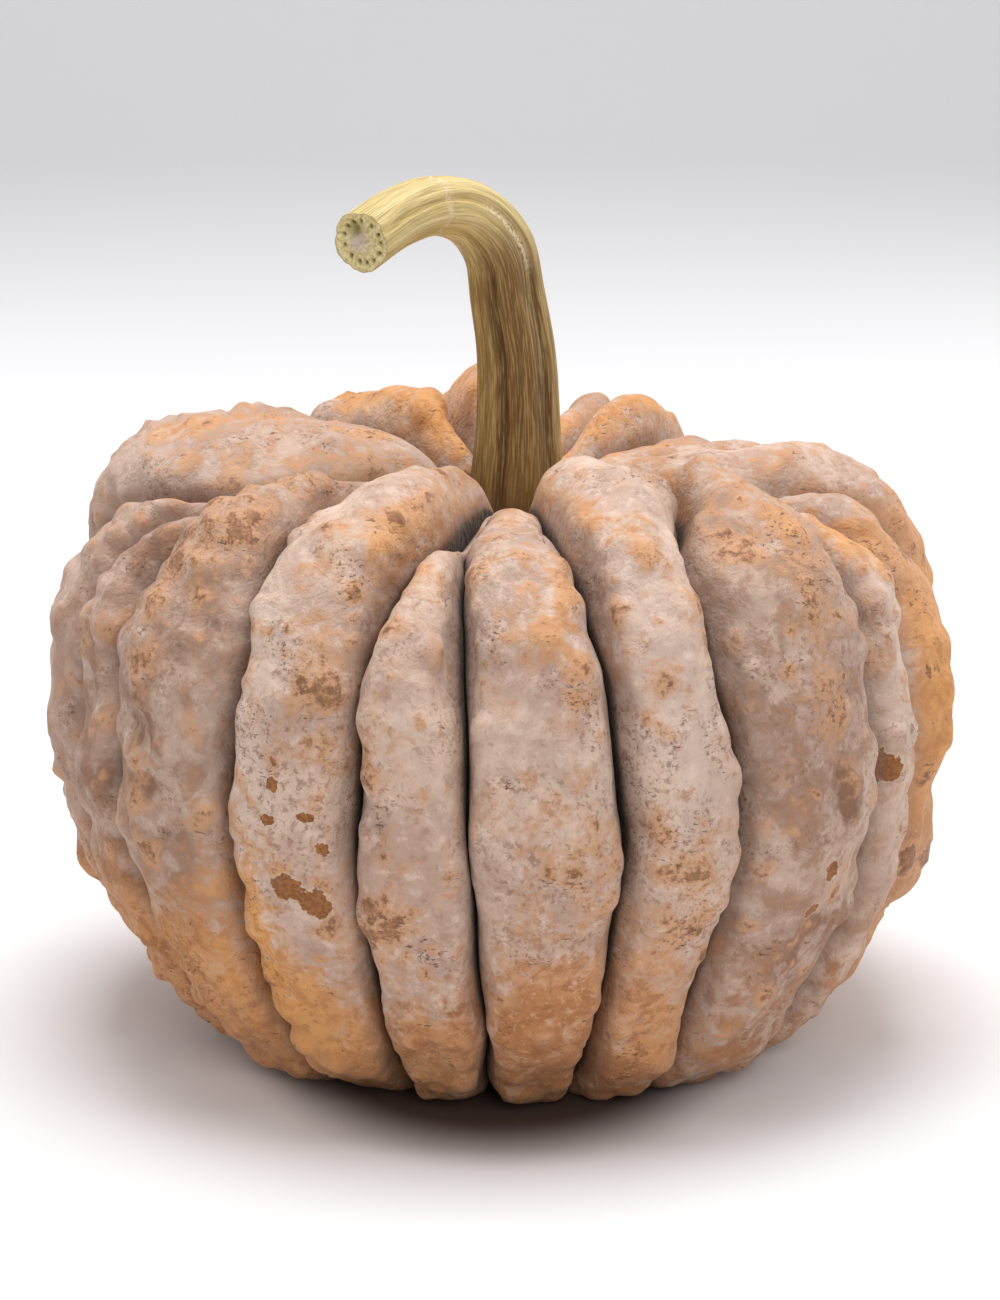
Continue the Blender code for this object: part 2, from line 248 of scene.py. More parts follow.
# Where the bloom is tanned.
STAIN_PATCHES = (
    Patch(45, 0.068, 0.0065, 0.0070, 0.9),
    Patch(46, 0.034, 0.0160, 0.0140, 0.7),
    Patch(-56, 0.075, 0.0100, 0.0300, 0.6),
    Patch(-47, 0.075, 0.0100, 0.0260, 0.65),
)
# Where the bloom is scuffed into fine flecks.
WORN_PATCHES = (
    Patch(-24, 0.080, 0.010, 0.016, 1.0),
    Patch(8, 0.060, 0.012, 0.016, 0.8),
    Patch(22, 0.060, 0.010, 0.014, 0.7),
    Patch(44, 0.085, 0.012, 0.020, 0.9),
    Patch(-48, 0.095, 0.010, 0.020, 0.8),
)

# The height that the bloom thins at, and how tanned it is, by azimuth in degrees; the tan on the side
# ribs is partly painted shade.
BLOOM_EDGE = (
    (-180, 0.045), (-60, 0.052), (-35, 0.048), (-20, 0.036), (-3, 0.040),
    (8, 0.047), (22, 0.045), (45, 0.036), (90, 0.036), (180, 0.045),
)
TAN_AND_SIDE_SHADE = (
    (-180, 0.3), (-80, 0.2), (-62, 0.5), (-36, 0.4), (-32, 0.0),
    (28, 0.0), (34, 0.4), (52, 0.4), (60, 0.1), (180, 0.3),
)

# The stem's middle line, from its foot up over the bend to the cut end, and its radii there.
STEM_GAP = 0.0003
STEM_LINE = (
    (0.0030, 0.0000, PIT_Z + STEM_GAP),
    (0.0034, 0.0000, 0.1160),
    (0.0038, 0.0000, 0.1300),
    (0.0034, 0.0000, 0.1440),
    (0.0015, -0.0005, 0.1570),
    (-0.0004, -0.0022, 0.1675),
    (-0.0058, -0.0060, 0.1748),
    (-0.0128, -0.0118, 0.1772),
    (-0.0202, -0.0188, 0.1756),
    (-0.0275, -0.0260, 0.1715),
)
STEM_RADII = (0.0104, 0.0096, 0.0085, 0.0080, 0.0076, 0.0072, 0.0065, 0.0060, 0.0060, 0.0062)
STEM_RIDGES = 5
STEM_RIDGE_HEIGHTS = (0.04, 0.06, 0.09, 0.09, 0.09, 0.09, 0.08, 0.07, 0.05, 0.04)
STEM_ROUND_POINTS = 160
STEM_STEPS_A_SPAN = 24
# Finer flutes between the ridges and unevenness from noise, as shares of the stem's radius.
FLUTE_COUNT = 15
FLUTE_HEIGHT = 0.022
UNEVENNESS = 0.035
# Where round the stem, in degrees from +X, the painted shade under its bend and its corky streak lie,
# and how far before the cut end the scar round it is.
SHADE_UNDER_BEND_TURN = 288
CORK_TURN = 322
SCAR_FROM_END = 0.0205

# The cut face: its direction, rings and heights, and places on it in shares of its radius.
CUT_NORMAL = (-0.52, -0.83, -0.20)
CUT_RINGS = 26
FACE_DEPTH = 0.0004
FACE_ROUGHNESS = 0.00025
HOLE_COUNT = 13
HOLE_CIRCLE = 0.70
HOLE_SPREAD = 0.0042
HOLE_DEPTH = 0.0009
HOLLOW_PLACE = (-0.22, 0.42)
HOLLOW_SPREAD = 0.06
HOLLOW_DEPTH = 0.0011
PITH_PLACE = (-0.10, -0.02)
PITH_SPREAD = 0.10
PITH_HEIGHT = 0.0003

# The camera: its angle above the level in degrees, how far it is, and the place it looks at.
CAMERA_ELEVATION = 14.0
CAMERA_DISTANCE = 0.800
CAMERA_TARGET = (0.0, 0.0, 0.081)
IMAGE_WIDTH, IMAGE_HEIGHT = 1000, 1300
# In the frame, the pixels of the fruit's mean radius and where its middle lies from the left.
FRUIT_PIXELS = 450
FRUIT_MIDDLE_X = 498

# The floor: half its width, its front edge, where it starts to bend up, and the bend's radius.
FLOOR_HALF = 3.0
FLOOR_FRONT = -3.0
FLOOR_BACK = 1.6
BEND_RADIUS = 0.6
BEND_STEPS = 12
BACKDROP_TOP = 3.0
# The painted shadow on the floor under the fruit: its squeeze in X, Y and Z, its middle in
# millimetres, and the distances from there, in millimetres, between which it fades.
SHADE_STRETCH = (1.35, 1, 1)
SHADE_MIDDLE = (0, -22, 0)
SHADE_FADE = (44, 73)

# The room's even light, and square lights: place, what each faces, size in metres and watts.
ROOM_STRENGTH = 0.45
Light = namedtuple("Light", "name place target size power")
LIGHTS = (
    Light("overhead", (0, 0, 1.1), (0, 0, 0.08), 0.6, 10.0),
    Light("front", (0.36, -1.4, 0.9), (0, 0, 0.06), 0.7, 5.2),
    Light("left", (-0.85, 0.65, 0.45), (0, 0, 0.06), 0.6, 2.0),
    Light("right", (0.85, 0.65, 0.45), (0, 0, 0.06), 0.6, 3.0),
    Light("backdrop", (0, 0.9, 1.6), (0, 2.2, 0.7), 1.6, 8.5),
)


def smooth_curve(at, places, values):
    """A smooth curve through values at places, read at at, and level beyond its ends."""
    places = np.asarray(places, float)
    values = np.asarray(values, float)
    at = np.clip(at, places[0], places[-1])
    slopes = np.gradient(values, places)
    slopes[0] = slopes[-1] = 0.0
    span = np.clip(np.searchsorted(places, at, side="right") - 1, 0, len(places) - 2)
    width = places[span + 1] - places[span]
    t = (at - places[span]) / width
    start = (1 + 2 * t) * (1 - t) ** 2 * values[span] + t * (1 - t) ** 2 * width * slopes[span]
    end = t**2 * (3 - 2 * t) * values[span + 1] + t**2 * (t - 1) * width * slopes[span + 1]
    return start + end


def smoothstep(low, high, x):
    """0 below low, 1 above high, and smooth between them."""
    t = np.clip((np.asarray(x, float) - low) / (high - low), 0, 1)
    return t * t * (3 - 2 * t)


def quarter(turn, power):
    """Along and up a quarter of a superellipse, with turn from 0 to 1."""
    angle = np.clip(turn, 0, 1) * math.pi / 2
    return np.abs(np.cos(angle)) ** (2 / power), np.abs(np.sin(angle)) ** (2 / power)


def mean_outline(v):
    """Radius and height of the fruit's mean outline at each station in v."""
    v = np.asarray(v, float)
    along, up = quarter(v / RIM, PIT_POWER)
    pit_r = RIM_RADIUS - (RIM_RADIUS - PIT_RADIUS) * along
    pit_z = PIT_Z + (HEIGHT - PIT_Z) * up
    up, along = quarter((v - RIM) / (WAIST - RIM), SHOULDER_POWER)
    top_r = RIM_RADIUS + (RADIUS - RIM_RADIUS) * along
    top_z = WAIST_Z + (HEIGHT - WAIST_Z) * up
    along, up = quarter((v - WAIST) / (FOOT - WAIST), BELLY_POWER)
    low_r = FOOT_RADIUS + (RADIUS - FOOT_RADIUS) * along
    low_z = WAIST_Z - (WAIST_Z + FOOT_BELOW_GROUND) * up
    t = np.clip((v - FOOT) / (1 - FOOT), 0, 1)
    end_r = FOOT_RADIUS + (DIMPLE_RADIUS - FOOT_RADIUS) * t
    end_z = -FOOT_BELOW_GROUND + (DIMPLE_Z + FOOT_BELOW_GROUND) * t * t * (3 - 2 * t)
    choice = [v < RIM, v < WAIST, v < FOOT]
    radius = np.select(choice, [pit_r, top_r, low_r], end_r)
    height = np.select(choice, [pit_z, top_z, low_z], end_z)
    return radius, height


def outward(v, step=0.012):
    """The direction out of the mean outline at v, as its radial and upward parts."""
    low, high = np.clip(v - step, 0, 1), np.clip(v + step, 0, 1)
    r0, z0 = mean_outline(low)
    r1, z1 = mean_outline(high)
    length = np.hypot(r1 - r0, z1 - z0)
    return (z0 - z1) / length, (r1 - r0) / length


def waves(rng, cycles):
    """A wavy function of the station, between about -1 and 1, with drawn phases and weights."""
    parts = [(n, rng.uniform(0, 2 * math.pi), rng.uniform(0.4, 1.0)) for n in cycles]
    total = sum(weight for _, _, weight in parts)

    def wave(v):
        return sum(w * np.sin(2 * math.pi * n * v + phase) for n, phase, w in parts) / total

    return wave


def rib_curves():
    """For each rib: functions of the station for the cleft before it and for its back's lift."""
    rng = random.Random(LUMP_SEED)
    curves = []
    for rib in RIBS:
        sway, lump = waves(rng, CLEFT_CYCLES), waves(rng, LUMP_CYCLES)

        def cleft(v, rib=rib, sway=sway):
            calm = np.clip((v - RIM) / (SHOULDER - RIM), 0, 1)
            return smooth_curve(v, STATIONS, rib.cleft) + CLEFT_SWAY * sway(v) * calm

        def lift(v, rib=rib, lump=lump):
            calm = np.clip(np.minimum(v / (0.6 * RIM), (1 - v) / (1 - BASE)), 0, 1)
            return (smooth_curve(v, STATIONS, rib.lift) + LUMP_HEIGHT * lump(v)) * calm

        curves.append((cleft, lift))
    return curves


def rib_back(v, turn, lift):
    """How far a rib's back stands off the mean outline, where the rib is turn degrees wide."""
    depth = smooth_curve(v, CLEFT_STATIONS, CLEFT_DEPTHS)
    width = np.radians(turn) * mean_outline(v)[0]
    return np.maximum(np.minimum(lift, TALLEST_RIB * width - depth), LOWEST_LIFT * depth)


def fruit_point(v, azimuth, height_in_cleft, lift):
    """Places in the frame at stations v: height_in_cleft goes from 0 in a cleft to 1 on a back."""
    radius, z = mean_outline(v)
    out_r, out_z = outward(v)
    depth = smooth_curve(v, CLEFT_STATIONS, CLEFT_DEPTHS)
    shift = (depth + lift) * height_in_cleft - depth
    radius = radius + out_r * shift
    z = z + out_z * shift
    turn = np.radians(azimuth)
    pit_shift = PIT_SHIFT_X * np.clip(1 - v / BROW, 0, 1)
    return np.stack([radius * np.sin(turn) + pit_shift, -radius * np.cos(turn), z], axis=-1)


def even_arch(power):
    """Points from cleft to cleft spaced evenly over a rib's arch: place across, and height."""
    angle = np.linspace(-math.pi / 2, math.pi / 2, 2001)
    across = np.sign(angle) * np.abs(np.sin(angle)) ** (2 / power) * (1 - CLEFT_GAP)
    high = np.cos(angle).clip(0) ** (2 / power)
    across[0], across[-1] = -1.0, 1.0
    steps = np.hypot(np.diff(across) * TYPICAL_HALF_WIDTH, np.diff(high) * TYPICAL_DEPTH)
    travelled = np.concatenate([[0], np.cumsum(steps)])
    even = np.linspace(0, travelled[-1], RIB_COLUMNS + 1)[:-1]
    return np.interp(even, travelled, across), np.interp(even, travelled, high)


def grid_normals(grid):
    """Outward unit normals of a grid that goes once round."""
    along = np.gradient(grid, axis=0)
    round_it = np.roll(grid, -1, axis=1) - np.roll(grid, 1, axis=1)
    normal = np.cross(round_it, along)
    length = np.linalg.norm(normal, axis=2, keepdims=True)
    return -normal / np.maximum(length, 1e-12)


def draw_knobs(rng, kind, cleft, next_cleft, lift):
    """Knob centres on one rib, jittered from an even spacing, with radii, heights and baredness."""
    centres, radii, heights, bare = [], [], [], []
    v, last = KNOB_STATIONS
    while v < last:
        at = np.array([v])
        start, end = cleft(at)[0], next_cleft(at)[0]
        end += 360 * (end < start)
        radius = mean_outline(at)[0][0]
        width = math.radians(end - start) * radius
        count = max(1, round(width / kind.spacing))
        for k in range(count):
            u = -1 + (2 * k + 1 + rng.uniform(-KNOB_JITTER_ACROSS, KNOB_JITTER_ACROSS)) / count
            place = np.array([v + rng.uniform(-KNOB_JITTER_ALONG, KNOB_JITTER_ALONG)])
            azimuth = start + (end - start) * (u + 1) / 2
            power = smooth_curve(place, ARCH_STATIONS, ARCH_POWERS)[0]
            high = (1 - min(abs(u), 1) ** power) ** (1 / power)
            back = rib_back(place, end - start, lift(place))
            centres.append(fruit_point(place, np.array([azimuth]), high, back)[0])
            radii.append(rng.uniform(*kind.radius))
            heights.append(rng.uniform(*kind.height))
            bare.append(rng.uniform(0.3, 1.0) if rng.random() < kind.bare else 0.0)
        v += kind.spacing / BACK_LENGTH * rng.uniform(0.85, 1.15)
    return np.array(centres), np.array(radii), np.array(heights), np.array(bare)


def knob_relief(points, knobs):
    """Relief height and baredness that the knobs give at points."""
    centres, radii, heights, bare = knobs
    gap = np.linalg.norm(points[:, None, :] - centres[None], axis=2) / radii[None]
    profile = np.clip(1 - gap**2, 0, 1) ** 2
    return (profile * heights[None]).max(axis=1), (profile**1.5 * bare[None]).max(axis=1)


def bumpy(points, size, height):
    """Smooth noise at points, with waves of about size."""
    values = [noise.noise(Vector(p)) for p in points.reshape(-1, 3) / size]
    return height * np.array(values).reshape(points.shape[:2])


def keep_inside(grid, node):
    """Presses in what would stand proud of the node's box, softly, within BOX_MARGIN of it."""
    for axis, (low, high) in enumerate(zip(*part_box(node))):
        for sign, limit in ((1, high), (-1, -low)):
            side = sign * grid[:, :, axis]
            over = side - (limit - BOX_MARGIN)
            pressed = limit - BOX_MARGIN * np.exp(-np.maximum(over, 0) / BOX_MARGIN)
            grid[:, :, axis] = np.where((over > 0) & (limit > 0), sign * pressed, grid[:, :, axis])


def skin_places(grid):
    """Azimuth in degrees from -180 to 180, and height in metres, of each point."""
    return np.degrees(np.arctan2(grid[:, :, 0], -grid[:, :, 1])), grid[:, :, 2]


def turn_from(angle, middle):
    """How far angles lie from middle, in degrees from -180 to 180."""
    return (angle - middle + 180) % 360 - 180


def painted(grid, patches):
    """How strongly the patches cover each point, soft towards their edges."""
    azimuth, z = skin_places(grid)
    from_core = np.hypot(grid[:, :, 0], grid[:, :, 1])
    total = np.zeros(z.shape)
    for p in patches:
        aside = np.radians(turn_from(azimuth, p.azimuth)) * from_core
        reach = (aside / p.wide) ** 2 + ((z - p.z) / p.high) ** 2
        total = np.maximum(total, p.amount * np.exp(-0.7 * reach))
    return total


def rib_surface(v, across, high, cleft, next_cleft, lift, rngs):
    """One rib's points as rows x columns x 3, with the relief and baredness of its strewn knobs."""
    start, end = cleft(v), next_cleft(v)
    end = end + 360 * (end < start)
    back = rib_back(v, end - start, lift(v))
    columns = [
        fruit_point(v, start + (end - start) * (u + 1) / 2, a, back)
        for u, a in zip(across.T, high.T)
    ]
    block = np.stack(columns, axis=1)
    points = block.reshape(-1, 3)
    large, small = (
        knob_relief(points, draw_knobs(rng, kind, cleft, next_cleft, lift))
        for rng, kind in zip(rngs, (LARGE_KNOBS, SMALL_KNOBS))
    )
    calm = smoothstep(*NARROW_RIB, np.radians(end - start) * mean_outline(v)[0])[:, None]
    relief = (large[0] + small[0]).reshape(block.shape[:2]) * calm
    bare = np.maximum(large[1], small[1]).reshape(block.shape[:2]) * calm
    return block, relief, bare


def fruit_grid():
    """The fruit's points as rows x columns x 3, with each point's arch height, and bare knobs."""
    v = np.linspace(0, 1, FRUIT_ROWS)
    shapes = [even_arch(power) for power in smooth_curve(v, ARCH_STATIONS, ARCH_POWERS)]
    across, high = (np.array(side) for side in zip(*shapes))
    rngs = [random.Random(kind.seed) for kind in (LARGE_KNOBS, SMALL_KNOBS)]
    curves = rib_curves()
    ribs = []
    for number, (cleft, lift) in enumerate(curves):
        next_cleft = curves[(number + 1) % len(curves)][0]
        ribs.append(rib_surface(v, across, high, cleft, next_cleft, lift, rngs))
    grid, relief, bare = (np.concatenate(parts, axis=1) for parts in zip(*ribs))
    arch = np.tile(high, (1, len(RIBS)))
    on_back = smoothstep(*RELIEF_ARCH, arch)
    on_skin = (smoothstep(*RELIEF_START, v) * (1 - smoothstep(*RELIEF_END, v)))[:, None]
    azimuth, z = skin_places(grid)
    knobbly = np.interp(azimuth, *zip(*KNOBBLY))
    # The right shoulder is smoother.
    knobbly *= 1 - 0.6 * smoothstep(55, 75, azimuth) * smoothstep(0.085, 0.100, z)
    relief = relief * knobbly + RELIEF_BASE + bumpy(grid, SWELL_SIZE, SWELL_HEIGHT)
    relief += bumpy(grid, PUCKER_SIZE, PUCKER_HEIGHT)
    relief += SINGLE_KNOB_HEIGHT * painted(grid, SINGLE_KNOBS)
    grid = grid + grid_normals(grid) * (relief * on_back * on_skin)[:, :, None]
    grid[:, :, 2] = np.maximum(grid[:, :, 2], 0.0)
    keep_inside(grid, "fruit")
    return grid, arch, bare * on_back


def closed_mesh(name, grid, first_middle, last_middle):
    """A closed mesh object from a grid that goes once round, with a fan at each end."""
    rows, columns = grid.shape[:2]
    points = np.concatenate([grid.reshape(-1, 3), [first_middle, last_middle]])
    first, last = rows * columns, rows * columns + 1
    i, j = np.meshgrid(np.arange(rows - 1), np.arange(columns), indexing="ij")
    a = (i * columns + j).ravel()
    b = (i * columns + (j + 1) % columns).ravel()
    quads = np.stack([a, a + columns, b + columns, b], axis=1)
    j = np.arange(columns)
    k = (j + 1) % columns
    bottom = (rows - 1) * columns
    top_fan = np.stack([np.full(columns, first), j, k], axis=1)
    low_fan = np.stack([np.full(columns, last), bottom + k, bottom + j], axis=1)
    mesh = bpy.data.meshes.new(name)
    mesh.from_pydata(points.tolist(), [], quads.tolist() + top_fan.tolist() + low_fan.tolist())
    mesh.shade_smooth()
    item = bpy.data.objects.new(name, mesh)
    bpy.context.scene.collection.objects.link(item)
    return item


def point_values(mesh, name, values, at_ends):
    """Stores a number for each point of the grid, with one value for both end points."""
    layer = mesh.attributes.new(name, "FLOAT", "POINT")
    numbers = np.append(np.ravel(values), [at_ends, at_ends])
    layer.data.foreach_set("value", numbers.astype(np.float32))


class Nodes:
    """A material's node tree, with short calls for adding and joining nodes."""

    def __init__(self, name):
        self.material = bpy.data.materials.new(name)
        self.material.use_nodes = True
        self.tree = self.material.node_tree
        self.shader = self.tree.nodes["Principled BSDF"]

    def put(self, value, socket):
        """Joins value to socket if it is a socket, and else sets it there."""
        if isinstance(value, bpy.types.NodeSocket):
            self.tree.links.new(value, socket)
        else:
            socket.default_value = value

    def add(self, kind, **settings):
        """A new node with its settings."""
        node = self.tree.nodes.new(kind)
        for key, value in settings.items():
            setattr(node, key, value)
        return node

    def attribute(self, name):
        """A number stored on the mesh."""
        return self.add("ShaderNodeAttribute", attribute_name=name).outputs["Fac"]

    def position(self, stretch=(1, 1, 1)):
        """The place on the object in millimetres, squeezed by stretch."""
        node = self.add("ShaderNodeMapping")
        self.put(self.add("ShaderNodeTexCoord").outputs["Object"], node.inputs["Vector"])
        node.inputs["Scale"].default_value = [1000 * s for s in stretch]
        return node.outputs["Vector"]

    def noise(self, vector, size, detail, rough, warp=0.0):
        """Noise between about 0 and 1 with features of about size millimetres."""
        node = self.add("ShaderNodeTexNoise")
        self.put(vector, node.inputs["Vector"])
        node.inputs["Scale"].default_value = 1 / size
        node.inputs["Detail"].default_value = detail
        node.inputs["Roughness"].default_value = rough
        node.inputs["Distortion"].default_value = warp
        return node.outputs["Fac"]

    def math(self, operation, a, b, clamp=False):
        """A sum, difference or product of two values, held between 0 and 1 if clamp is set."""
        node = self.add("ShaderNodeMath", operation=operation, use_clamp=clamp)
        for value, socket in zip((a, b), node.inputs):
            self.put(value, socket)
        return node.outputs["Value"]

    def times(self, a, b, clamp=False):
        """The product of two values."""
        return self.math("MULTIPLY", a, b, clamp)

    def stir(self, value, texture, amount):
        """value, raised and lowered by amount times a noise about its middle."""
        return self.math("ADD", value, self.times(self.math("SUBTRACT", texture, 0.5), amount))

    def ramp(self, value, low, high, to_low=0.0, to_high=1.0):
        """value mapped smoothly from low..high to to_low..to_high."""
        node = self.add("ShaderNodeMapRange", interpolation_type="SMOOTHSTEP")
        for socket, number in zip(node.inputs, (value, low, high, to_low, to_high)):
            self.put(number, socket)
        return node.outputs["Result"]

    def mix(self, amount, a, b):
        """A colour between a and b, each a socket or a colour in screen values."""
        node = self.add("ShaderNodeMix", data_type="RGBA")
        self.put(amount, node.inputs["Factor"])
        for value, name in ((a, "A"), (b, "B")):
            socket = next(s for s in node.inputs if s.name == name and s.type == "RGBA")
            self.put(colour(value) if isinstance(value, tuple) else value, socket)
        return next(s for s in node.outputs if s.type == "RGBA")

    def bump(self, height, distance, strength, after=None):
        """Surface relief with distance in metres for a height of one, on top of the relief after."""
        node = self.add("ShaderNodeBump")
        node.inputs["Strength"].default_value = strength
        node.inputs["Distance"].default_value = distance
        self.put(height, node.inputs["Height"])
        if after is not None:
            self.put(after, node.inputs["Normal"])
        return node.outputs["Normal"]


def colour(srgb):
    """A shader colour from screen values of 0 to 255."""
    parts = [c / 255 for c in srgb]
    return tuple(p / 12.92 if p <= 0.04045 else ((p + 0.055) / 1.055) ** 2.4 for p in parts) + (1.0,)


Textures = namedtuple("Textures", "cloud blotch mottle fleck grain dash worn")


def fruit_textures(n):
    """The noises that the fruit's colours share, from clouds down to grain."""
    mm = n.position()
    return Textures(
        cloud=n.noise(mm, 24, 4, 0.55, 0.3),
        blotch=n.noise(mm, 9, 6, 0.62, 0.4),
        mottle=n.noise(mm, 3.2, 6, 0.66, 0.2),
        fleck=n.noise(mm, 1.5, 5, 0.72, 0.3),
        grain=n.noise(mm, 0.9, 3, 0.6),
        dash=n.noise(n.position((1, 1, 3)), 2.2, 4, 0.65),
        worn=n.noise(mm, 13, 4, 0.6, 0.5),
    )


def bloom_colour(n, t):
    """Dusty pinkish bloom in clouds and mottles, with pale, tanned and worn places; the tan on the
    side ribs is partly painted shade.
    """
    bloom = n.mix(n.ramp(t.cloud, 0.38, 0.62), (196, 164, 146), (222, 192, 172))
    bloom = n.mix(n.ramp(t.blotch, 0.50, 0.64, 0.0, 0.7), bloom, (208, 166, 134))
    bloom = n.mix(n.ramp(t.blotch, 0.50, 0.36, 0.0, 0.5), bloom, (180, 150, 134))
    bloom = n.mix(n.ramp(t.mottle, 0.52, 0.66, 0.0, 0.5), bloom, (164, 128, 106))
    bloom = n.mix(n.ramp(t.mottle, 0.48, 0.34, 0.0, 0.5), bloom, (234, 208, 192))
    bloom = n.mix(n.attribute("pale"), bloom, (236, 212, 196))
    tan_and_side_shade = n.times(n.attribute("tan_and_side_shade"), n.ramp(t.blotch, 0.38, 0.60, 0.2, 1.7), clamp=True)
    bloom = n.mix(tan_and_side_shade, bloom, (142, 104, 82))
    worn = n.ramp(n.math("ADD", t.worn, n.times(n.attribute("worn"), 0.3)), 0.45, 0.65)
    return n.mix(n.times(n.ramp(t.fleck, 0.50, 0.62, 0.0, 0.7), worn), bloom, (150, 110, 86))


def foot_colour(n, t, amber):
    """Browner skin for the fruit's lower part, where the bloom is thin."""
    foot = n.mix(n.ramp(t.cloud, 0.40, 0.60), (208, 152, 110), (180, 122, 82))
    foot = n.mix(n.ramp(t.mottle, 0.46, 0.60, 0.0, 0.7), foot, (150, 96, 62))
    foot = n.mix(n.ramp(t.blotch, 0.46, 0.34, 0.0, 0.6), foot, (220, 178, 146))
    foot = n.mix(n.ramp(t.fleck, 0.46, 0.34, 0.0, 0.6), foot, (228, 188, 156))
    return n.mix(n.attribute("yellow"), foot, amber)


def rubbed_skin(n, t, skin, rubbed, amber):
    """skin, rubbed down to peach or amber, and to brown where it is rubbed most."""
    thin = n.mix(n.attribute("yellow"), (209, 158, 119), amber)
    skin = n.mix(n.ramp(rubbed, 0.12, 0.60, 0.0, 0.9), skin, thin)
    raw = n.math("SUBTRACT", n.stir(rubbed, t.fleck, 1.2), n.times(n.attribute("yellow"), 0.5))
    brown = n.mix(n.ramp(t.fleck, 0.42, 0.60), (166, 114, 76), (124, 80, 52))
    return n.mix(n.ramp(raw, 0.50, 0.80, 0.0, 0.85), skin, brown)


def marked_skin(n, t, skin):
    """skin with crisp brown scabs in pale rims, and with small dark dots and dashes."""
    crisp = n.stir(n.stir(n.attribute("crisp"), t.mottle, 1.1), t.grain, 0.3)
    scab = n.mix(n.ramp(t.grain, 0.4, 0.6), (168, 108, 60), (136, 86, 48))
    skin = n.mix(n.ramp(crisp, 0.40, 0.50, 0.0, 0.5), skin, (226, 196, 170))
    skin = n.mix(n.ramp(crisp, 0.52, 0.57), skin, scab)
    dots = n.times(n.ramp(t.grain, 0.60, 0.66), n.ramp(t.worn, 0.54, 0.62))
    skin = n.mix(n.times(dots, 0.7), skin, (100, 68, 48))
    dashes = n.times(n.ramp(t.dash, 0.60, 0.64), n.ramp(t.worn, 0.52, 0.60))
    return n.mix(n.times(dashes, 0.8), skin, (96, 62, 42))


def fruit_material():
    """Peach-brown skin under a dusty bloom: rubbed on the knobs, thin at the foot, with painted shade
    in and towards the clefts and a painted highlight along the rib edges.
    """
    n = Nodes("fruit_skin")
    t = fruit_textures(n)
    amber = n.mix(n.ramp(t.mottle, 0.40, 0.65), (230, 164, 88), (200, 130, 64))
    low = n.stir(n.stir(n.stir(n.attribute("low"), t.blotch, 1.6), t.mottle, 1.4), t.fleck, 0.8)
    rubbed = n.stir(n.stir(n.attribute("bare"), t.blotch, 1.2), t.mottle, 1.6)
    skin = n.mix(n.ramp(low, 0.15, 0.90), bloom_colour(n, t), foot_colour(n, t, amber))
    skin = marked_skin(n, t, rubbed_skin(n, t, skin, rubbed, amber))
    # Painted highlight along the rib edges, painted shade towards the clefts, and near-black painted
    # shade in them.
    for name, tint in (("edge_highlight", (238, 216, 200)), ("shade", (96, 68, 54)), ("cleft", (20, 12, 8))):
        skin = n.mix(n.attribute(name), skin, tint)
    n.put(skin, n.shader.inputs["Base Color"])
    n.put(n.ramp(rubbed, 0.0, 1.0, 0.8, 0.5), n.shader.inputs["Roughness"])
    normal = n.bump(t.blotch, 0.0018, 0.7)
    normal = n.bump(t.mottle, 0.0013, 0.7, normal)
    n.put(n.bump(t.fleck, 0.0003, 0.7, normal), n.shader.inputs["Normal"])
    n.shader.inputs["Specular IOR Level"].default_value = 0.35
    n.shader.inputs["Sheen Weight"].default_value = 0.2
    n.shader.inputs["Sheen Roughness"].default_value = 0.25
    n.shader.inputs["Sheen Tint"].default_value = colour((255, 232, 214))
    return n.material


def skin_values(grid, arch, knob_bare):
    """The numbers that the fruit's material reads, by name, for each point."""
    azimuth, z = skin_places(grid)
    low = 1 - smoothstep(-0.024, 0.014, z - smooth_curve(azimuth, *zip(*BLOOM_EDGE)))
    # The bloom reaches further down at the front right.
    low *= 1 - 0.5 * smoothstep(20, 38, azimuth) * (1 - smoothstep(60, 80, azimuth))
    # The right side is half bare up to its shoulder, and the tops of the back ribs are a little.
    right = smoothstep(64, 71, azimuth) * (1 - smoothstep(100, 150, azimuth))
    right *= 1 - 0.8 * smoothstep(0.110, 0.122, z)
    back_top = smoothstep(120, 170, np.abs(azimuth)) * smoothstep(0.09, 0.125, z)
    bare = np.maximum(0.42 * right, 0.2 * back_top)
    bare = np.maximum(bare, 0.8 * painted(grid, BARE_PATCHES))
    bare = np.maximum(bare + 0.7 * knob_bare, 0.75 * painted(grid, SINGLE_KNOBS))
    # Painted shade, darker on the rib walls towards each cleft.
    near_cleft = 0.65 * (1 - smoothstep(0.28, 0.60, arch))
    off_back = 0.35 * (1 - smoothstep(0.40, 0.92, arch))
    return {
        "bare": bare,
        "low": np.maximum(low, right),
        "crisp": painted(grid, CRISP_PATCHES),
        "yellow": np.clip(painted(grid, YELLOW_PATCHES) + 0.2 * low, 0, 1),
        # Partly a real tan and partly painted shade on the side ribs.
        "tan_and_side_shade": np.maximum(np.interp(azimuth, *zip(*TAN_AND_SIDE_SHADE)), painted(grid, STAIN_PATCHES)),
        "worn": painted(grid, WORN_PATCHES),
        "pale": painted(grid, PALE_PATCHES),
        # Near-black painted shade deep in each cleft.
        "cleft": 0.96 * (1 - smoothstep(0.20, 0.36, arch)),
        "shade": np.maximum(near_cleft, off_back),
        # A painted highlight along the rib edges.
        "edge_highlight": 0.2 * np.exp(-((arch - 0.66) / 0.12) ** 2),
    }


def make_fruit():
    """The fruit, with its knobs and the values that its material reads."""
    grid, arch, knob_bare = fruit_grid()
    fruit = closed_mesh("fruit_body", grid, (PIT_SHIFT_X, 0.0, PIT_Z), (0.0, 0.0, DIMPLE_Z))
    for name, values in skin_values(grid, arch, knob_bare).items():
        point_values(fruit.data, name, values, 0.5 if name in ("cleft", "shade") else 0.0)
    fruit.data.materials.append(fruit_material())
    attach(fruit, "root")
    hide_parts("fruit")


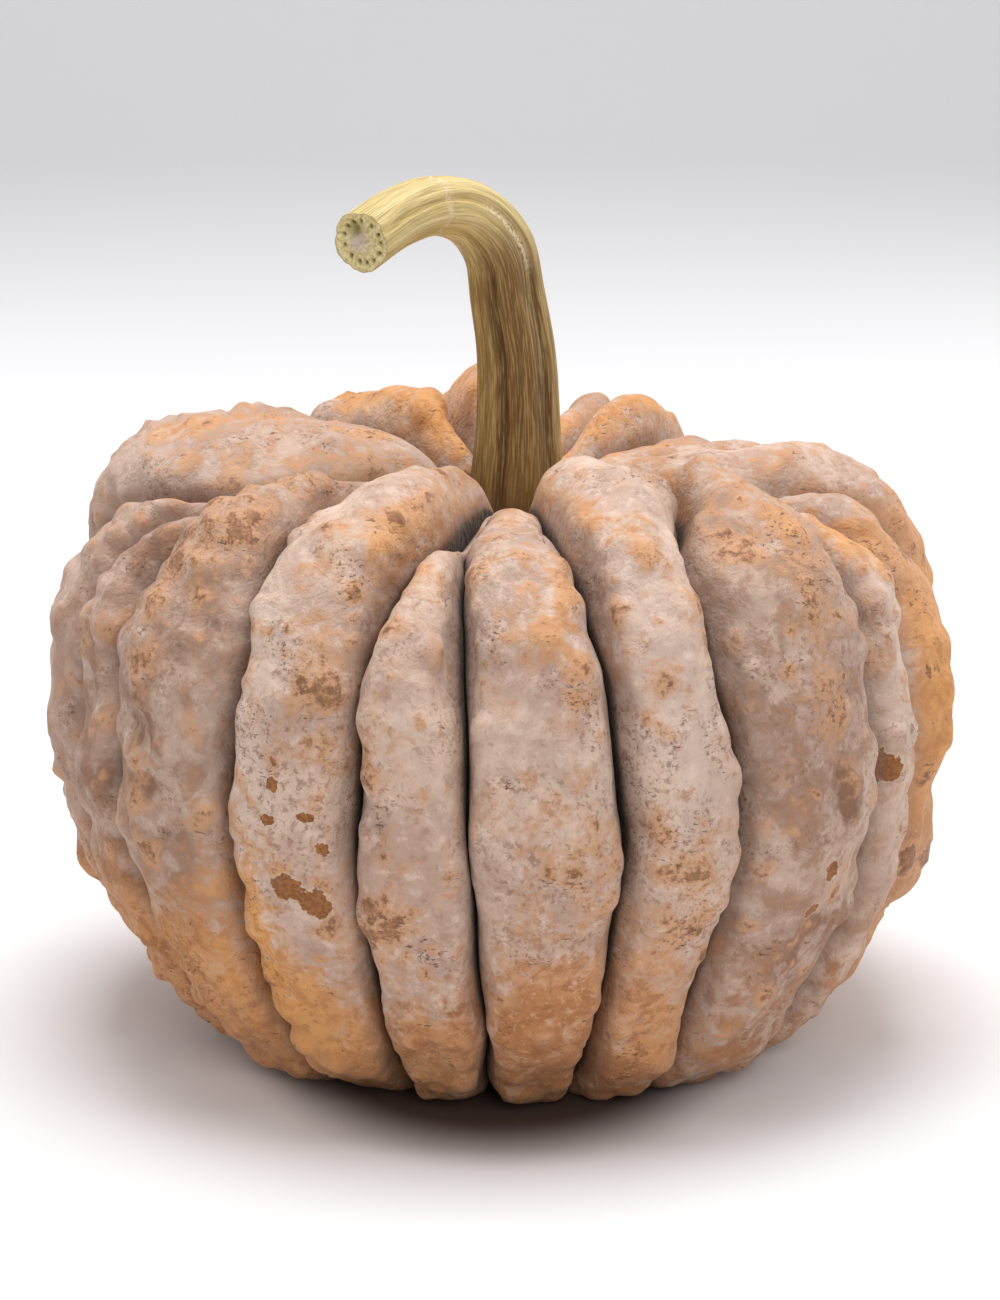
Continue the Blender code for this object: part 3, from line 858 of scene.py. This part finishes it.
def stem_path():
    """The stem's middle line, radii and ridge heights, smoothed between the given points."""
    places = np.arange(len(STEM_LINE))
    at = np.linspace(0, places[-1], places[-1] * STEM_STEPS_A_SPAN + 1)
    line = np.asarray(STEM_LINE)
    slopes = np.gradient(line, axis=0)
    span = np.minimum(at.astype(int), places[-1] - 1)
    t = (at - span)[:, None]
    path = (
        (1 + 2 * t) * (1 - t) ** 2 * line[span]
        + t * (1 - t) ** 2 * slopes[span]
        + t**2 * (3 - 2 * t) * line[span + 1]
        + t**2 * (t - 1) * slopes[span + 1]
    )
    return path, np.interp(at, places, STEM_RADII), np.interp(at, places, STEM_RIDGE_HEIGHTS)


def carried_sides(path):
    """Two sideways directions at each point of a path, carried along it without twisting."""
    ahead = np.gradient(path, axis=0)
    ahead /= np.linalg.norm(ahead, axis=1)[:, None]
    ahead[0] = (0.0, 0.0, 1.0)
    side = np.array([1.0, 0.0, 0.0])
    sides = []
    for direction in ahead:
        side = side - direction * side.dot(direction)
        side /= np.linalg.norm(side)
        sides.append((side.copy(), np.cross(direction, side)))
    return ahead, sides


def stem_rings():
    """The stem's side as rings, with ridge heights, turns and lengths at its points, and its end."""
    path, radii, heights = stem_path()
    ahead, sides = carried_sides(path)
    turn = np.linspace(0, 2 * math.pi, STEM_ROUND_POINTS, endpoint=False)
    travelled = np.concatenate([[0], np.cumsum(np.linalg.norm(np.diff(path, axis=0), axis=1))])
    ridge = np.abs(np.cos(turn * STEM_RIDGES / 2)) * 2 - 1
    rings, ridges = [], []
    for centre, radius, high, s, (across, other) in zip(path, radii, heights, travelled, sides):
        uneven = np.array([
            noise.noise(Vector((math.cos(a) * 3.2, math.sin(a) * 3.2, s * 28))) for a in turn
        ])
        flutes = FLUTE_HEIGHT * np.cos(FLUTE_COUNT * turn + 1.3 * np.sin(2 * turn))
        flutes += UNEVENNESS * uneven
        flutes *= 1 - 0.5 * smoothstep(0.070, 0.095, s)
        shape = high * ridge + flutes - 0.03
        around = np.cos(turn)[:, None] * across + np.sin(turn)[:, None] * other
        rings.append(centre + (radius * (1 + shape))[:, None] * around)
        ridges.append(high * ridge * 6 + flutes * 9)
    normal = np.asarray(CUT_NORMAL)
    for back in range(1, STEM_STEPS_A_SPAN + 1):
        share = 1 - (back - 1) / STEM_STEPS_A_SPAN
        ring = rings[-back]
        slide = (path[-back] - ring) @ normal / (ahead[-1] @ normal)
        rings[-back] = ring + share * slide[:, None] * ahead[-1]
    around = np.broadcast_to(turn[None, :], (len(path), len(turn)))
    along = np.broadcast_to(travelled[:, None], around.shape)
    return np.stack(rings), np.stack(ridges), around, along, path[-1]


def spot(x, y, middle, spread):
    """1 at middle, fading to 0 round it."""
    return np.exp(-((x - middle[0]) ** 2 + (y - middle[1]) ** 2) / spread)


def cut_rings(rim, middle):
    """Rings from the rim in to the middle of the cut face, and how far each point is in a hole, in
    the hollow and in the pith."""
    normal = np.asarray(CUT_NORMAL) / np.linalg.norm(CUT_NORMAL)
    side = np.cross((0, 0, 1), normal)
    side /= np.linalg.norm(side)
    up = np.cross(normal, side)
    radius = np.linalg.norm(rim - middle, axis=1).mean()
    turns = [2 * math.pi * (h + 0.18 * math.sin(5 * h)) / HOLE_COUNT for h in range(HOLE_COUNT)]
    holes = [(HOLE_CIRCLE * math.cos(turn), HOLE_CIRCLE * math.sin(turn)) for turn in turns]
    rings, marks = [], []
    for k in range(1, CUT_RINGS):
        share = 1 - k / CUT_RINGS
        ring = middle + (rim - middle) * share
        x = (ring - middle) @ side / radius
        y = (ring - middle) @ up / radius
        far = np.hypot(x, y)
        hole = np.max([spot(x, y, place, HOLE_SPREAD) for place in holes], axis=0)
        hollow = spot(x, y, HOLLOW_PLACE, HOLLOW_SPREAD)
        pith = spot(x, y, PITH_PLACE, PITH_SPREAD)
        rough = np.array([noise.noise(Vector((a * 9, b * 9, 4.0))) for a, b in zip(x, y)])
        height = 0.0003 * smoothstep(0.80, 0.93, far) - 0.0002 * smoothstep(0.93, 1.0, far)
        height += PITH_HEIGHT * pith - HOLE_DEPTH * hole - HOLLOW_DEPTH * hollow
        height += FACE_ROUGHNESS * rough - FACE_DEPTH
        rings.append(ring + normal * (height * smoothstep(0, 2 / CUT_RINGS, 1 - share))[:, None])
        marks.append(np.stack([hole, hollow, pith]))
    return np.stack(rings), np.stack(marks, axis=1)


def bark_material():
    """Khaki ridged bark, dark at the foot, with painted shade on one side under the bend, pale past
    the bend, and the cut face.
    """
    n = Nodes("stem_bark")
    mm = n.position()
    along, sin, cos = n.attribute("along"), n.attribute("sin"), n.attribute("cos")
    path = n.add("ShaderNodeCombineXYZ")
    for value, socket in zip((sin, cos, n.times(along, 6)), path.inputs):
        n.put(value, socket)
    fibre = n.noise(path.outputs["Vector"], 0.045, 2, 0.6)
    streak = n.noise(path.outputs["Vector"], 0.16, 3, 0.6, 0.2)
    blotch = n.noise(mm, 6, 5, 0.6)
    grain = n.noise(mm, 0.8, 4, 0.65)

    ridge = n.ramp(n.math("ADD", n.attribute("ridge"), n.times(streak, 1.2)), 0.1, 1.3)
    bark = n.mix(ridge, (112, 78, 32), (182, 150, 84))
    bark = n.mix(n.ramp(streak, 0.50, 0.66, 0.0, 0.7), bark, (150, 118, 58))
    bark = n.mix(n.ramp(blotch, 0.5, 0.8, 0.0, 0.4), bark, (188, 160, 96))
    bark = n.mix(n.attribute("pale"), bark, n.mix(ridge, (220, 194, 124), (242, 222, 160)))
    bark = n.mix(n.attribute("shade_under_bend"), bark, n.mix(ridge, (74, 44, 16), (120, 84, 38)))
    bark = n.mix(n.ramp(fibre, 0.40, 0.62, 0.0, 0.35), bark, (84, 54, 22))
    bark = n.mix(n.ramp(fibre, 0.52, 0.36, 0.0, 0.30), bark, (214, 188, 126))
    bark = n.mix(n.attribute("foot"), bark, (88, 58, 24))
    scar = n.times(n.attribute("scar"), n.ramp(grain, 0.40, 0.52))
    bark = n.mix(scar, bark, (226, 204, 168))

    fibres = n.mix(n.ramp(grain, 0.4, 0.65), (240, 224, 168), (200, 178, 116))
    face = n.mix(n.attribute("pith"), fibres, (238, 216, 202))
    face = n.mix(n.attribute("hollow"), face, (146, 132, 66))
    face = n.mix(n.attribute("hole"), face, (88, 70, 30))
    n.put(n.mix(n.attribute("cut"), bark, face), n.shader.inputs["Base Color"])
    n.put(n.ramp(fibre, 0.3, 0.7, 0.5, 0.68), n.shader.inputs["Roughness"])
    normal = n.bump(streak, 0.0006, 0.6)
    normal = n.bump(fibre, 0.0003, 0.6, normal)
    n.put(n.bump(grain, 0.0003, 0.5, normal), n.shader.inputs["Normal"])
    n.shader.inputs["Specular IOR Level"].default_value = 0.4
    return n.material


def stem_values(ridges, around, along, marks):
    """The numbers that the stem's material reads, by name, for its side and then its cut face."""
    face = np.zeros(marks.shape[1:])
    turn, end = np.degrees(around), along.max()
    shaft = smoothstep(0.008, 0.020, along) * (1 - smoothstep(0.056, 0.076, along))
    # Painted shade on the side of the shaft under the bend.
    shade_under_bend = 0.85 * np.exp(-(turn_from(turn, SHADE_UNDER_BEND_TURN) / 36) ** 2) * shaft
    bend = smoothstep(0.054, 0.060, along) * (1 - smoothstep(0.070, 0.076, along))
    cork = np.exp(-(turn_from(turn, CORK_TURN) / 8) ** 2) * bend
    scar = 0.9 * np.exp(-((along - (end - SCAR_FROM_END)) / 0.0006) ** 2)
    on_side = {
        "ridge": ridges,
        "pale": 0.85 * smoothstep(0.052, 0.078, along),
        "foot": 0.75 * (1 - smoothstep(0.004, 0.022, along)),
        "shade_under_bend": shade_under_bend,
        "scar": np.maximum(scar, cork),
    }
    on_face = dict(zip(("hole", "hollow", "pith"), marks), cut=face + 1)
    values = {name: np.concatenate([side, face]) for name, side in on_side.items()}
    for name, mark in on_face.items():
        values[name] = np.concatenate([np.zeros(along.shape), mark])
    for name, wave in (("sin", np.sin), ("cos", np.cos)):
        values[name] = np.concatenate([wave(around), wave(around[:1]) + face])
    values["along"] = np.concatenate([along, face + end])
    return values


def make_stem():
    """The stem with its ridges and its cut end."""
    sides, ridges, around, along, middle = stem_rings()
    face, marks = cut_rings(sides[-1], middle)
    normal = np.asarray(CUT_NORMAL) / np.linalg.norm(CUT_NORMAL)
    grid = np.concatenate([sides, face])
    stem = closed_mesh("stem_body", grid, STEM_LINE[0], tuple(middle - normal * FACE_DEPTH))
    for name, values in stem_values(ridges, around, along, marks).items():
        point_values(stem.data, name, values, 1.0 if name == "cut" else 0.0)
    stem.data.materials.append(bark_material())
    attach(stem, "root")
    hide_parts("stem")


def make_camera():
    """The camera at the photograph's angle, with its focal length from the fruit's width there."""
    data = bpy.data.cameras.new("camera")
    camera = bpy.data.objects.new("camera", data)
    bpy.context.scene.collection.objects.link(camera)
    tilt = math.radians(CAMERA_ELEVATION)
    target = Vector(CAMERA_TARGET)
    camera.location = target + CAMERA_DISTANCE * Vector((0, -math.cos(tilt), math.sin(tilt)))
    camera.rotation_euler = (math.pi / 2 - tilt, 0, 0)
    focal_pixels = FRUIT_PIXELS * math.sqrt(CAMERA_DISTANCE**2 - RADIUS**2) / RADIUS
    data.sensor_fit = "VERTICAL"
    data.sensor_height = 24.0
    data.lens = data.sensor_height * focal_pixels / IMAGE_HEIGHT
    data.shift_x = (IMAGE_WIDTH / 2 - FRUIT_MIDDLE_X) / IMAGE_HEIGHT
    bpy.context.scene.camera = camera


def floor_material():
    """A pale floor with a painted shadow under the fruit."""
    n = Nodes("floor_pale")
    far = n.add("ShaderNodeVectorMath", operation="DISTANCE")
    n.put(n.position(SHADE_STRETCH), far.inputs[0])
    far.inputs[1].default_value = SHADE_MIDDLE
    # Painted shadow, darkest near its middle under the fruit.
    shade = n.ramp(far.outputs["Value"], *SHADE_FADE)
    n.put(n.mix(shade, (82, 64, 56), (236, 235, 235)), n.shader.inputs["Base Color"])
    n.shader.inputs["Roughness"].default_value = 0.9
    return n.material


def make_floor():
    """A pale floor that curves up into a backdrop."""
    profile = [(FLOOR_FRONT, 0.0), (FLOOR_BACK, 0.0)]
    for k in range(1, BEND_STEPS + 1):
        a = k / BEND_STEPS * math.pi / 2
        profile.append((FLOOR_BACK + BEND_RADIUS * math.sin(a), BEND_RADIUS * (1 - math.cos(a))))
    profile.append((FLOOR_BACK + BEND_RADIUS, BACKDROP_TOP))
    points = [(x, y, z) for y, z in profile for x in (-FLOOR_HALF, FLOOR_HALF)]
    faces = [(2 * i, 2 * i + 1, 2 * i + 3, 2 * i + 2) for i in range(len(profile) - 1)]
    mesh = bpy.data.meshes.new("floor")
    mesh.from_pydata(points, [], faces)
    mesh.shade_smooth()
    floor = bpy.data.objects.new("floor", mesh)
    bpy.context.scene.collection.objects.link(floor)
    mesh.materials.append(floor_material())


def add_light(spec):
    """A square light that faces its target."""
    data = bpy.data.lights.new(spec.name, "AREA")
    data.size = spec.size
    data.energy = spec.power
    light = bpy.data.objects.new(spec.name, data)
    bpy.context.scene.collection.objects.link(light)
    light.location = spec.place
    towards = Vector(spec.target) - Vector(spec.place)
    light.rotation_euler = towards.to_track_quat("-Z", "Y").to_euler()


def make_lights():
    """A pale room, soft lights overhead, in front and at the sides, and one on the backdrop."""
    world = bpy.data.worlds.new("room")
    world.use_nodes = True
    background = world.node_tree.nodes["Background"]
    background.inputs["Color"].default_value = colour((244, 245, 250))
    background.inputs["Strength"].default_value = ROOM_STRENGTH
    bpy.context.scene.world = world
    for spec in LIGHTS:
        add_light(spec)


bpy.context.scene.view_settings.view_transform = "Standard"
make_camera()
make_floor()
make_lights()
make_fruit()
make_stem()
